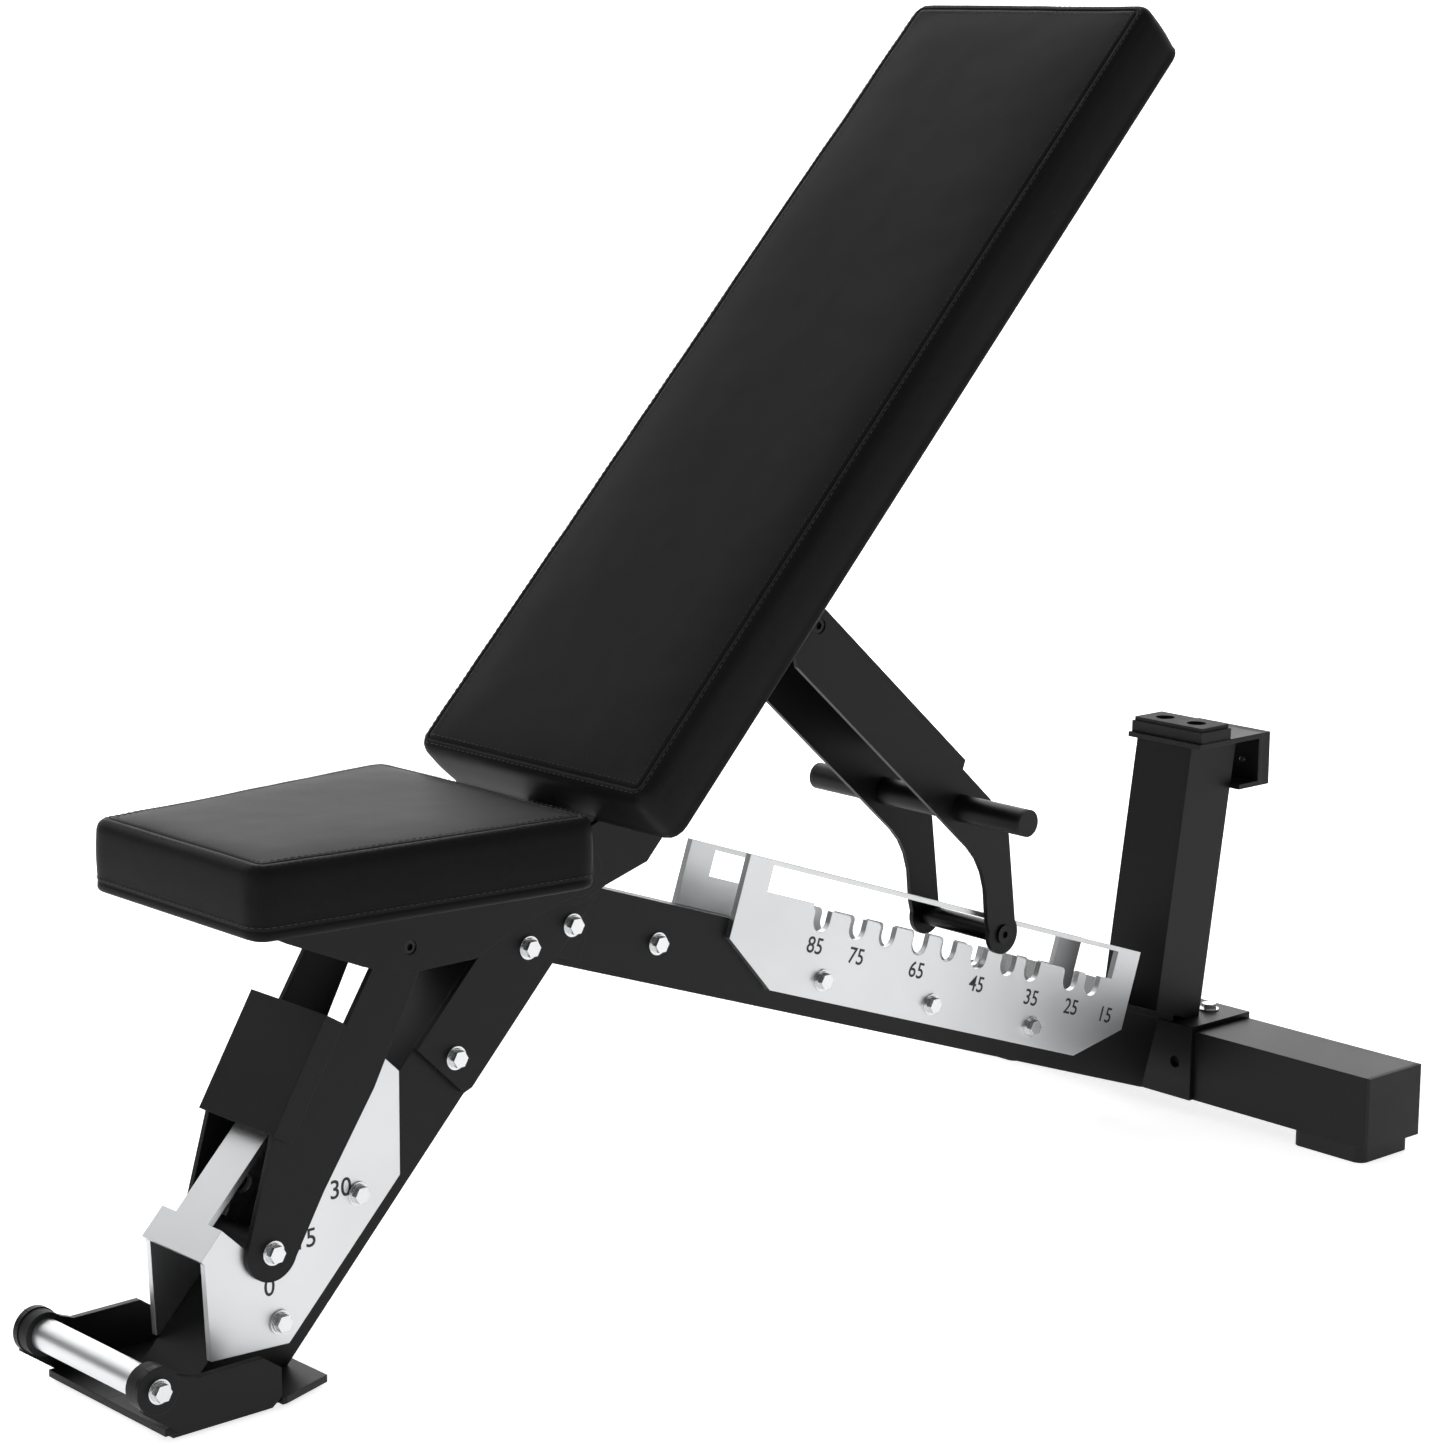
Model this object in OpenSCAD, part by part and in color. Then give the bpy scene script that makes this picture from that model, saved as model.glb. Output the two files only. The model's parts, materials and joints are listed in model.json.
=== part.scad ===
// Adjustable weight bench: back and seat set by ladder plates, bolted steel frame.
// X runs from the front handle to the rear foot, Y across, Z up from the floor.

/* [Frame] */
// Width and height of the square frame tubes
tube_w = 70; // [56:1:84]
// Wall of the frame tubes
tube_wall = 3; // [2:0.5:4]
// Slope of the spine, down to the rear
spine_slope = 18.9; // [17:0.1:20.5]
// Lean of the front leg from the floor
leg_angle = 46.4; // [44:0.1:48]
// Height of the shared hinge above the floor
hinge_height = 371; // [360:1:385]
// Distance from the hinge to the front face of the rear foot
rear_reach = 787; // [770:1:900]
// Thickness of the bolted side plates
plate_t = 6; // [4:0.5:7]

/* [Rear foot] */
// Length of the rear foot across the bench
foot_bar_l = 548; // [440:1:680]
// Depth of the rear foot tube along the bench
foot_bar_w = 79; // [70:1:90]
// Height of the rear foot tube
foot_bar_h = 70; // [60:1:78]
// Height of the rubber feet
rubber_h = 16; // [10:1:24]

/* [Rear post] */
// Height of the post top above the floor
post_top = 366; // [330:1:400]
// Lean of the post to the rear
post_lean = 8.8; // [5:0.1:12]
// Depth of the post tube
post_d = 67; // [56:1:76]
// Width of the bracket on top of the post
post_bracket_w = 92; // [80:1:110]

/* [Front foot] */
// Width of the front foot over its side plates
front_foot_w = 176; // [150:1:210]
// Diameter of the front handle tube
front_handle_d = 26; // [20:1:30]

/* [Back pad] */
// Length of the back pad
back_pad_l = 865; // [800:1:1000]
// Width of the back pad
back_pad_w = 292; // [230:1:330]
// Thickness of both pads
pad_t = 60; // [48:1:64]
// Recline of the back in the drawn pose
recline = 46.6; // [46:0.1:47.2]

/* [Seat] */
// Height of the top of the seat pad
seat_height = 442; // [436:1:452]
// Length of the seat pad
seat_l = 307; // [270:1:330]
// Width of the seat at its front edge
seat_front_w = 232; // [200:1:270]
// Width of the seat at its rear edge
seat_rear_w = 287; // [240:1:330]

/* [Support arm] */
// Distance from the arm pivot to the lock bar
arm_reach = 399.5; // [394:0.5:402]
// Diameter of the lock bar
lock_bar_d = 19; // [16:0.5:20]
// Length of the lifting handle across the arm
arm_handle_l = 264; // [220:1:300]

/* [Hidden] */
$fn = 48;

black = [0.08, 0.08, 0.085];
steel = [0.74, 0.75, 0.76];
rubber = [0.05, 0.05, 0.05];
vinyl = [0.06, 0.06, 0.065];
wood = [0.30, 0.24, 0.18];

slip = 0.05;          // radial running clearance of pins
gap = 0.5;            // side clearance between plates that slide past each other
thin_t = 5;           // thickness of the moving plates
half = tube_w / 2;
fix_out = half + plate_t;             // outer face of the bolted side plates
mid_in = fix_out + gap;               // inner layer of moving plates
mid_out = mid_in + thin_t;
out_in = mid_out + gap;               // outer layer of moving plates
out_out = out_in + thin_t;

// Overall reach, used to centre the origin between the front handle and the rear bumper
front_end = -466;                     // front of the handle, from the hinge
post_x = 796;                         // front top edge of the post, from the hinge
bracket_reach = 90;                   // post front to the inner face of the rear bracket plate
bracket_t = 5;
bumper_t = 16;
rear_end = post_x + bracket_reach + bracket_t + bumper_t;
hinge_x = -(front_end + rear_end) / 2;
hinge = [hinge_x, hinge_height];

// Spine line: its top face passes below the hinge pin
hinge_rise = 10.6;                    // hinge axis above the spine's top face
spine_u = [cos(spine_slope), -sin(spine_slope)];
spine_n = [sin(spine_slope), cos(spine_slope)];
foot_front = hinge_x + rear_reach;    // front face of the rear foot bar
foot_z = rubber_h;
spine_end = (rear_reach - bracket_t) / cos(spine_slope) + tube_w;

// Leg line: the hinge lies on the leg's centre line
leg_u = [cos(leg_angle), sin(leg_angle)];
leg_v = [-sin(leg_angle), cos(leg_angle)];
leg_drop = (hinge_height - 8) / sin(leg_angle);
leg_back = 4;                         // the leg's centre line passes this far behind the hinge
function leg_point(t, m) = hinge + t * leg_u + m * leg_v;      // t up the leg, m to the front
function spine_point(s, n) = hinge + s * spine_u + (n - hinge_rise) * spine_n;

// Back frame, measured along and across the pad from the hinge
pad_start = 47;
pad_face = 68;                        // pad face above the hinge line
board_t = 10;
board_top = pad_face - pad_t;
tube_top = board_top;
back_tube_h = 60;
bracket_low = -60;                    // lower edge of the hinge plates
back_tube_start = 80;
back_tube_l = back_pad_l - 223;
back_tube_w = 2 * mid_in;
arm_pivot = [314, -76];               // arm pivot in the back frame
back_u = [cos(recline), sin(recline)];
back_n = [-sin(recline), cos(recline)];
function back_point(a, h) = hinge + a * back_u + h * back_n;
pivot_at = back_point(arm_pivot[0], arm_pivot[1]);

// Where the lock bar is: just under the ladder rail in the drawn pose, in a notch when seated
rail_in = 53.8;                       // underside of the ladder rail above the spine
bar_lift = rail_in - lock_bar_d / 2 - 0.6;
seat_n = 7 + lock_bar_d / 2;          // bar centre when it rests in a notch
function rel_s(p) = (p - hinge) * spine_u;
function rel_n(p) = (p - hinge) * spine_n + hinge_rise;
function bar_s(p, n) = rel_s(p) + sqrt(arm_reach * arm_reach - pow(rel_n(p) - n, 2));
function pivot_for(a) = hinge + norm(arm_pivot)
  * [cos(a + atan2(arm_pivot[1], arm_pivot[0])), sin(a + atan2(arm_pivot[1], arm_pivot[0]))];
bar_at = spine_point(bar_s(pivot_at, bar_lift), bar_lift);

// Recline angles of the ten ladder notches
notch_angles = [74.9, 68.2, 62.8, 56.9, 51.6, 45.6, 39.5, 34.0, 23.2, 15.2];
notch_s = [for (a = notch_angles) bar_s(pivot_for(a), seat_n)];
notch_w = lock_bar_d + 2;
ladder_top = 58.5;
ladder_low = -53.5;
tooth_top = 26.5;
ladder_front = notch_s[0] - 106;
ladder_rear = notch_s[9] + 60;

// Seat frame, level in the drawn pose
seat_rear = hinge_x - 63;             // rear edge of the seat pad
pad_round = pad_t - 4;                // big rounding where the two pads meet
seat_top_t = 5;                       // channel web under the seat board
seat_board_top = seat_height - pad_t;
seat_web_top = seat_board_top;
board_inset = 14;                     // vinyl and foam wrapped round the edge of each board
strut_at = [hinge_x - 177.2, hinge_height - 34.7];             // strut hinge on the seat plates
pin_m = 46;                           // lock pin in front of the leg's centre line
strut_reach = 262.3;                  // strut hinge to lock pin
function turn(p, a) = hinge + [(p - hinge) * [cos(a), sin(a)], (p - hinge) * [-sin(a), cos(a)]];
function leg_t(p) = (p - hinge) * leg_u;
function leg_m(p) = (p - hinge) * leg_v;
function pin_t(p) = leg_t(p) - sqrt(strut_reach * strut_reach - pow(leg_m(p) - pin_m, 2));
seat_angles = [0, 15, 30];
seat_notches = [for (a = seat_angles) pin_t(turn(strut_at, a))];
pin_at = leg_point(seat_notches[0], pin_m);
pin_d = 15;
sleeve_d = 24;

bolt_d = 10;
head_d = 15;
washer_d = 20;

// ---- helpers ----

module plate(y, t) {
  translate([0, y + t, 0])
    rotate([90, 0, 0])
      linear_extrude(t) children();
}

module both() {
  children();
  mirror([0, 1, 0]) children();
}

module at_point(p) {
  translate([p[0], 0, p[1]]) children();
}

module across(d, y0, y1) {
  translate([0, y1, 0])
    rotate([90, 0, 0]) cylinder(d = d, h = y1 - y0);
}

// Local frames: x along the member, z away from its upper or front face
module on_spine() {
  translate([hinge_x, 0, hinge_height])
    rotate([0, spine_slope, 0])
      translate([0, 0, -hinge_rise]) children();
}

module on_leg() {
  translate([hinge_x, 0, hinge_height])
    rotate([0, -leg_angle, 0]) children();
}

module on_back() {
  translate([hinge_x, 0, hinge_height])
    rotate([0, -recline, 0]) children();
}

arm_angle = atan2(pivot_at[1] - bar_at[1], bar_at[0] - pivot_at[0]) - 11.2;
module on_arm() {
  translate([pivot_at[0], 0, pivot_at[1]])
    rotate([0, arm_angle, 0]) children();
}

module flange_bolt(grip) {
  // hex flange bolt lying along -Y with its seat at y = 0
  rotate([90, 0, 0]) {
    cylinder(d = washer_d, h = 1.6);
    translate([0, 0, 1.6]) cylinder(d = head_d + 1.5, h = 1.4);
    translate([0, 0, 3]) cylinder(d = head_d, h = 4.5, $fn = 6);
    translate([0, 0, -grip]) cylinder(d = bolt_d, h = grip);
  }
}

module tube_bolts(points, face, grip) {
  for (p = points)
    both() translate([p[0], -face, p[1]]) flange_bolt(grip);
}

module bolt_holes(points) {
  for (p = points)
    at_point(p) across(bolt_d, -120, 120);
}

module soft_block(l, w0, w1, t, r, front_r, rear_r) {
  // closed pad solid from x = 0 to l, w0 wide at x = 0 and w1 at x = l, with eased edges
  intersection() {
    linear_extrude(t)
      hull() {
        for (side = [-1, 1]) {
          translate([r, side * (w0 / 2 - r)]) circle(r);
          translate([l - r, side * (w1 / 2 - r)]) circle(r);
        }
      }
    translate([0, max(w0, w1) / 2, 0])
      rotate([90, 0, 0])
        linear_extrude(max(w0, w1))
          difference() {
            square([l, t]);
            translate([0, t - front_r])
              difference() {
                square(front_r);
                translate([front_r, 0]) circle(front_r);
              }
            translate([l - rear_r, t - rear_r])
              difference() {
                square(rear_r);
                circle(rear_r);
              }
          }
  }
}

// ---- fixed frame ----

gusset_points = [leg_point(-75.5, -leg_back - 3), leg_point(-186, -leg_back - 2)];
spine_bolt_points = [spine_point(15.5, -half), spine_point(121, -half)];
ladder_bolt_s = [notch_s[0] + 19, notch_s[4] - 5, notch_s[8] - 40];
ladder_bolt_points = [for (s = ladder_bolt_s) spine_point(s, -half)];
leg_bolt_points = [leg_point(seat_notches[2] - 13, 2), leg_point(seat_notches[0] - 37.5, -3)];

module joint_plane(side) {
  // half space on one side of the mitre between spine and leg
  inner = [hinge_x - 20, hinge_height - 79];
  mitre = (180 - leg_angle - spine_slope) / 2 + leg_angle;
  translate([inner[0], 0, inner[1]])
    rotate([0, -mitre, 0])
      translate([-600, -100, side > 0 ? -900 : 0.02]) cube([1200, 200, 900]);
}

module main_spine() {
  color(black)
    difference() {
      intersection() {
        on_spine() translate([-90, -half, -tube_w]) cube([spine_end, tube_w, tube_w]);
        joint_plane(1);
        translate([hinge_x - 200, -half, 0]) cube([rear_reach + 200 - bracket_t, tube_w, hinge_height - 14]);
      }
      intersection() {
        on_spine()
          translate([-95, -half + tube_wall, -tube_w + tube_wall])
            cube([spine_end + 10, tube_w - 2 * tube_wall, tube_w - 2 * tube_wall]);
        translate([hinge_x - 250, -half, 0])
          cube([rear_reach + 300, tube_w, hinge_height - 14 - tube_wall]);
      }
      bolt_holes(concat(spine_bolt_points, ladder_bolt_points, gusset_points));
    }
}

module front_leg() {
  color(black)
    difference() {
      intersection() {
        on_leg() translate([-leg_drop - 60, -half, -half - leg_back]) cube([leg_drop + 60, tube_w, tube_w]);
        joint_plane(-1);
        translate([hinge_x - 600, -half, foot_plate_top])
          cube([600, tube_w, hinge_height - 14 - foot_plate_top]);
      }
      intersection() {
        on_leg()
          translate([-leg_drop - 70, -half + tube_wall, -half - leg_back + tube_wall])
            cube([leg_drop + 90, tube_w - 2 * tube_wall, tube_w - 2 * tube_wall]);
        translate([hinge_x - 600, -half, 0]) cube([620, tube_w, hinge_height - 14 - tube_wall]);
      }
      bolt_holes(concat(gusset_points, spine_bolt_points, leg_bolt_points));
    }
}

module gusset() {
  color(black)
    plate(-fix_out, plate_t)
      difference() {
        union() {
          polygon([leg_point(-203, 32), leg_point(-203, -34), leg_point(-195, -38),
            leg_point(0, -38), leg_point(0, 32)]);
          translate(hinge) circle(33);
          polygon([spine_point(-10, -6), spine_point(34, -6), spine_point(34, -64), spine_point(-20, -64)]);
        }
        translate(hinge) circle(d = 16);
        for (p = concat(gusset_points, [spine_bolt_points[0]])) translate(p) circle(d = bolt_d);
      }
}
module gusset_left() { mirror([0, 1, 0]) gusset(); }
module gusset_right() { gusset(); }

module gusset_bolts() {
  color(steel) {
    tube_bolts(concat(gusset_points, [spine_bolt_points[0]]), fix_out, plate_t + tube_wall + 3);
    tube_bolts([spine_bolt_points[1]], half, tube_wall + 3);
  }
}

module main_pivot_pin() {
  color(steel)
    at_point(hinge) {
      across(16, -out_out - 0.3, out_out + 0.3);
      both() across(24, out_out + 0.3, out_out + 3.3);
    }
}

module notch_outline(w, ramp) {
  // a U slot from its round floor up, its front side eased back into a ramp
  circle(d = w);
  translate([-w / 2, 0]) square([w, 60]);
  difference() {
    translate([-w / 2 - ramp, tooth_top - seat_n - ramp]) square([ramp, ramp + 0.1]);
    translate([-w / 2 - ramp, tooth_top - seat_n - ramp]) circle(ramp);
  }
}

module back_ladder() {
  color(steel)
    on_spine()
      plate(-fix_out, plate_t)
        difference() {
          polygon([[ladder_front, ladder_top], [ladder_front, -17], [ladder_front + 64, ladder_low],
            [ladder_rear - 61, ladder_low], [ladder_rear, -19], [ladder_rear, ladder_top]]);
          translate([ladder_front + 31, 30]) square([ladder_rear - ladder_front - 64, rail_in - 30]);
          translate([notch_s[0] - 14, tooth_top])
            square([ladder_rear - 33 - notch_s[0] + 14, rail_in - tooth_top]);
          for (s = notch_s)
            translate([s, seat_n])
              intersection() {
                notch_outline(notch_w, 5);
                translate([-60, -20]) square([120, rail_in - seat_n + 20]);
              }
          for (s = ladder_bolt_s) translate([s, -half]) circle(d = bolt_d);
        }
}
module back_ladder_left() { mirror([0, 1, 0]) back_ladder(); }
module back_ladder_right() { back_ladder(); }

module back_ladder_bolts() {
  color(steel) tube_bolts(ladder_bolt_points, fix_out, plate_t + tube_wall + 3);
}

// Seat ladder: two notched side plates, a front band and a keeper strap in one bent piece
tooth_m = pin_m + 12;
band_m = 91;
band_t = 5;
t0 = seat_notches[0];
t2 = seat_notches[2];

module seat_ladder() {
  color(steel)
    on_leg() {
      both()
        plate(-fix_out, plate_t)
          difference() {
            union() {
              polygon([[t0 - 95, 33], [t0 - 46, -23], [t2 + 21, -24], [t2 + 84, 36], [t2 + 84, tooth_m],
                [t0 - 11, tooth_m], [t0 - 11, band_m], [t0 - 40, band_m]]);
            }
            for (t = seat_notches)
              translate([t, pin_m]) {
                circle(d = pin_d + 1);
                translate([-pin_d / 2 - 0.5, 0]) square([pin_d + 1, 80]);
              }
            // eased front of the first tooth, so the pin lifts out
            polygon([[t0, pin_m - 6], [t0 + pin_d + 4, pin_m - 3], [seat_notches[1] - 2, tooth_m + 1],
              [t0, tooth_m + 1]]);
            for (p = leg_bolt_points) translate([leg_t(p), leg_m(p)]) circle(d = bolt_d);
          }
      translate([t0 - 40, -fix_out, band_m]) cube([29, 2 * fix_out, band_t]);
      translate([t0 - 12, -22, band_m]) cube([t2 - t0 + 97, 44, band_t]);
      translate([t2 + 80, -22, half - leg_back]) cube([band_t, 44, band_m - half + leg_back + band_t]);
    }
}

module seat_ladder_bolts() {
  color(steel) tube_bolts(leg_bolt_points, fix_out, plate_t + tube_wall + 3);
}

// ---- front foot ----

foot_x = hinge_x - 461;               // front of the base plate
foot_side_l = 127;                    // side plates run this far back, the base plate a little further
foot_plate_top = 9;
front_handle_at = [hinge_x - 447, 44];
front_handle_l = front_foot_w - 2 * plate_t;

module front_foot_base() {
  color(black)
    translate([0, 0, foot_plate_top - plate_t])
      linear_extrude(plate_t)
        for (side = [0, 1])
          mirror([0, side])
            polygon([[foot_x + 23, 0], [foot_x + 23, front_foot_w / 2 - plate_t],
              [foot_x + foot_side_l + 0.5, front_foot_w / 2 - plate_t],
              [foot_x + foot_side_l + 0.5, front_foot_w / 2], [foot_x + foot_side_l + 5, front_foot_w / 2],
              [foot_x + foot_side_l + 55, front_foot_w / 2 - 16], [foot_x + foot_side_l + 55, 0]]);
}

module foot_side() {
  color(black)
    plate(-front_foot_w / 2, plate_t)
      difference() {
        union() {
          translate(front_handle_at) circle(19);
          polygon([[front_handle_at[0] - 8, 62], [foot_x + 48, 46], [foot_x + 110, 46],
            [foot_x + foot_side_l, 34],
            [foot_x + foot_side_l, 10], [foot_x + 118, 3], [foot_x + 36, 3], [foot_x, 29]]);
        }
        translate(front_handle_at) circle(d = bolt_d);
      }
}
module foot_side_left() { mirror([0, 1, 0]) foot_side(); }
module foot_side_right() { foot_side(); }

module front_foot_pads() {
  color(rubber)
    for (side = [-1, 1])
      translate([foot_x + 30, side * (front_foot_w / 2 - 22) - 16, 0])
        cube([88, 32, foot_plate_top - plate_t]);
}

module front_handle() {
  color(steel)
    at_point(front_handle_at)
      difference() {
        across(front_handle_d, -front_handle_l / 2 + 12, front_handle_l / 2 - 12);
        across(bolt_d, -front_foot_w, front_foot_w);
      }
}

module handle_rings() {
  color(rubber)
    both()
      at_point(front_handle_at)
        difference() {
          across(front_handle_d + 10, front_handle_l / 2 - 12, front_handle_l / 2);
          across(bolt_d, 0, front_foot_w);
        }
}

module handle_bolts() {
  color(steel)
    both() translate([front_handle_at[0], -front_foot_w / 2, front_handle_at[1]]) flange_bolt(60);
}

// ---- rear foot ----

bar_top = foot_z + foot_bar_h;

module rear_foot_bar() {
  color(black)
    translate([foot_front, 0, foot_z])
      difference() {
        translate([0, -foot_bar_l / 2 + 4, 0]) cube([foot_bar_w, foot_bar_l - 8, foot_bar_h]);
        translate([tube_wall, -foot_bar_l / 2, tube_wall])
          cube([foot_bar_w - 2 * tube_wall, foot_bar_l, foot_bar_h - 2 * tube_wall]);
        for (y = [-27, 27])
          translate([foot_bar_w - 20, y, foot_bar_h - 10]) cylinder(d = bolt_d, h = 20);
      }
}

module foot_bar_caps() {
  color(rubber)
    both()
      translate([foot_front, foot_bar_l / 2 - 4, foot_z]) {
        cube([foot_bar_w, 4, foot_bar_h]);
        translate([tube_wall, -14, tube_wall])
          cube([foot_bar_w - 2 * tube_wall, 14.1, foot_bar_h - 2 * tube_wall]);
      }
}

module rear_rubber_feet() {
  color(rubber)
    both()
      translate([foot_front + 2, foot_bar_l / 2 - 92, 0])
        linear_extrude(rubber_h)
          union() {
            translate([10, 0]) square([foot_bar_w - 24, 84]);
            translate([0, 10]) square([foot_bar_w - 4, 64]);
            for (x = [10, foot_bar_w - 14])
              for (y = [10, 74])
                translate([x, y]) circle(10);
          }
}

saddle_w = 118;
module saddle() {
  color(black)
    difference() {
      translate([foot_front - bracket_t, -saddle_w / 2, foot_z])
        cube([foot_bar_w + 2 * bracket_t, saddle_w, foot_bar_h + bracket_t]);
      translate([foot_front, -saddle_w, foot_z - 1]) cube([foot_bar_w, 2 * saddle_w, foot_bar_h + 1]);
      for (y = [-27, 27])
        translate([foot_front + foot_bar_w - 20, y, bar_top - 1]) cylinder(d = bolt_d, h = 20);
      for (side = [-1, 1])
        translate([foot_front - bracket_t - 1, side * 39, foot_z + 36])
          rotate([0, 90, 0]) cylinder(d = 12, h = bracket_t + 2);
    }
}

module saddle_bolts() {
  color(steel)
    for (y = [-27, 27])
      translate([foot_front + foot_bar_w - 20, y, bar_top + bracket_t]) {
        cylinder(d = washer_d, h = 1.6);
        translate([0, 0, 1.6]) cylinder(d = head_d, h = 5, $fn = 6);
        translate([0, 0, -bracket_t - tube_wall - 3]) cylinder(d = bolt_d, h = bracket_t + tube_wall + 3);
      }
}

// ---- rear post ----

post_front = [hinge_x + post_x, post_top];
module on_post() {
  translate([post_front[0], 0, post_front[1]])
    rotate([0, post_lean, 0]) children();
}

module under_post() {
  // everything the post stands on: the plate on the spine and the saddle
  on_spine() translate([0, -100, -400]) cube([1200, 200, 400 + plate_t]);
  translate([foot_front - bracket_t, -100, -10]) cube([300, 200, bar_top + bracket_t + 10]);
}

module rear_post() {
  color(black)
    difference() {
      on_post()
        difference() {
          translate([0, -half, -post_top]) cube([post_d, tube_w, post_top + 20]);
          translate([tube_wall, -half + tube_wall, -post_top - 1])
            cube([post_d - 2 * tube_wall, tube_w - 2 * tube_wall, post_top + 22]);
        }
      under_post();
      translate([post_front[0] - 100, -100, post_top]) cube([300, 200, 100]);
    }
}

module post_base_plate() {
  color(black)
    intersection() {
      on_spine() translate([0, -half, 0]) cube([1200, tube_w, plate_t]);
      translate([post_front[0] - 86, -half, 0])
        cube([foot_front - bracket_t - post_front[0] + 86, tube_w, 400]);
    }
}

bracket_drop = 48;
// rear face of the post below its front top edge, at the height of the bracket's lower lip
post_rear = post_d / cos(post_lean) - (bracket_drop - bracket_t) * tan(post_lean);
module post_bracket() {
  color(black)
    translate([post_front[0] - 1, -post_bracket_w / 2, post_top]) {
      difference() {
        cube([bracket_reach + bracket_t + 1, post_bracket_w, bracket_t]);
        for (y = [-20, 20])
          translate([25, post_bracket_w / 2 + y, -1]) cylinder(d = 6, h = 10);
      }
      translate([bracket_reach + 1, 0, -bracket_drop])
        difference() {
          cube([bracket_t, post_bracket_w, bracket_drop + bracket_t]);
          for (y = [-26, 26])
            translate([-1, post_bracket_w / 2 + y, bracket_drop / 2])
              rotate([0, 90, 0]) cylinder(d = 6, h = 10);
        }
      translate([post_rear + 1, 0, -bracket_drop])
        cube([bracket_reach - post_rear + 0.1, post_bracket_w, bracket_t]);
    }
}

bumper_h = 15;
module post_bumper() {
  color(rubber)
    translate([post_front[0] + 3, -45, post_top + bracket_t])
      difference() {
        union() {
          cube([44, 90, bumper_h - 4]);
          translate([2, 2, 0]) cube([40, 86, bumper_h]);
        }
        for (y = [-20, 20])
          translate([21, 45 + y, -1]) {
            cylinder(d = 6, h = 30);
            translate([0, 0, 6]) cylinder(d = 19, h = 30);
          }
      }
}

module bumper_screws() {
  color(steel)
    for (y = [-20, 20])
      translate([post_front[0] + 24, y, post_top + bracket_t + 5]) {
        cylinder(d = 12, h = 4);
        translate([0, 0, -12]) cylinder(d = 6, h = 12.5);
      }
}

module upright_bumper() {
  color(rubber)
    translate([post_front[0] + bracket_reach + bracket_t, -post_bracket_w / 2, post_top - bracket_drop])
      difference() {
        union() {
          cube([bumper_t - 4, post_bracket_w, bracket_drop + bracket_t]);
          translate([0, 4, 4]) cube([bumper_t, post_bracket_w - 8, bracket_drop + bracket_t - 8]);
        }
        for (y = [-26, 26])
          translate([-1, post_bracket_w / 2 + y, bracket_drop / 2])
            rotate([0, 90, 0]) {
              cylinder(d = 6, h = 40);
              translate([0, 0, 8]) cylinder(d = 14, h = 40);
            }
      }
}

module upright_screws() {
  color(steel)
    for (y = [-26, 26])
      translate([post_front[0] + bracket_reach + bracket_t + 7, y, post_top - bracket_drop / 2])
        rotate([0, 90, 0]) {
          cylinder(d = 12, h = 4);
          translate([0, 0, -13]) cylinder(d = 6, h = 13.5);
        }
}

// ---- back ----

module back_pad() {
  color(vinyl)
    on_back()
      difference() {
        translate([pad_start, 0, board_top])
          soft_block(back_pad_l, back_pad_w, back_pad_w, pad_t, 18, pad_round, 14);
        back_board_block();
      }
}

module back_board_block() {
  translate([pad_start + board_inset, -back_pad_w / 2 + board_inset, board_top])
    cube([back_pad_l - 2 * board_inset, back_pad_w - 2 * board_inset, board_t]);
}

module back_board() {
  color(wood) on_back() back_board_block();
}

module back_tube() {
  color(black)
    on_back()
      translate([back_tube_start, -back_tube_w / 2, tube_top - back_tube_h])
        difference() {
          cube([back_tube_l, back_tube_w, back_tube_h]);
          translate([-1, tube_wall, tube_wall])
            cube([back_tube_l + 2, back_tube_w - 2 * tube_wall, back_tube_h - 2 * tube_wall]);
          for (x = [60, back_tube_l - 60])
            for (y = [-22, 22])
              translate([x, back_tube_w / 2 + y, back_tube_h - tube_wall - 1])
                cylinder(d = 8, h = tube_wall + 2);
        }
}

module back_tube_cap() {
  color(rubber)
    on_back()
      translate([back_tube_start + back_tube_l, -back_tube_w / 2, tube_top - back_tube_h]) {
        cube([4, back_tube_w, back_tube_h]);
        translate([-14, tube_wall, tube_wall])
          cube([14.1, back_tube_w - 2 * tube_wall, back_tube_h - 2 * tube_wall]);
      }
}

module hinge_plate() {
  color(black)
    on_back()
      plate(-mid_out, thin_t)
        difference() {
          union() {
            circle(30);
            polygon([[-12, -27], [9, -36], [50, bracket_low], [150, bracket_low], [184, tube_top],
              [45, tube_top], [24, 18]]);
          }
          circle(d = 16 + 2 * slip);
        }
}
module hinge_plate_left() { mirror([0, 1, 0]) hinge_plate(); }
module hinge_plate_right() { hinge_plate(); }

lug_r = 16;
module arm_lugs() {
  low = tube_top - back_tube_h;
  color(black)
    on_back()
      both()
        plate(-mid_out, thin_t)
          difference() {
            union() {
              translate(arm_pivot) circle(lug_r);
              polygon([[arm_pivot[0] - 48, low + 34], [arm_pivot[0] + 48, low + 34],
                [arm_pivot[0] + lug_r, arm_pivot[1]], [arm_pivot[0] - lug_r, arm_pivot[1]]]);
            }
            translate(arm_pivot) circle(d = 14);
          }
}

module arm_pivot_pin() {
  color(steel)
    at_point(pivot_at)
      difference() {
        across(14, -out_out + 1, out_out - 1);
        for (side = [-1, 1])
          translate([0, side * (out_out - 1) + 3, 0])
            rotate([90, 0, 0]) cylinder(d = 7, h = 6, $fn = 6);
      }
}

module back_screws() {
  color(steel)
    on_back()
      for (x = [60, back_tube_l - 60])
        for (y = [-22, 22])
          translate([back_tube_start + x, y, tube_top - tube_wall - 5]) {
            cylinder(d = 16, h = 5);
            cylinder(d = 8, h = tube_wall + 5);
          }
}

// ---- support arm ----

bar_local = [arm_reach * cos(11.2), -arm_reach * sin(11.2)];
hand_local = bar_local + [-130, 57];
web_end = bar_local[0] - 156;
arm_up = 15.4;                        // outer face of the web above the pivot line
arm_down = -42;

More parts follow.
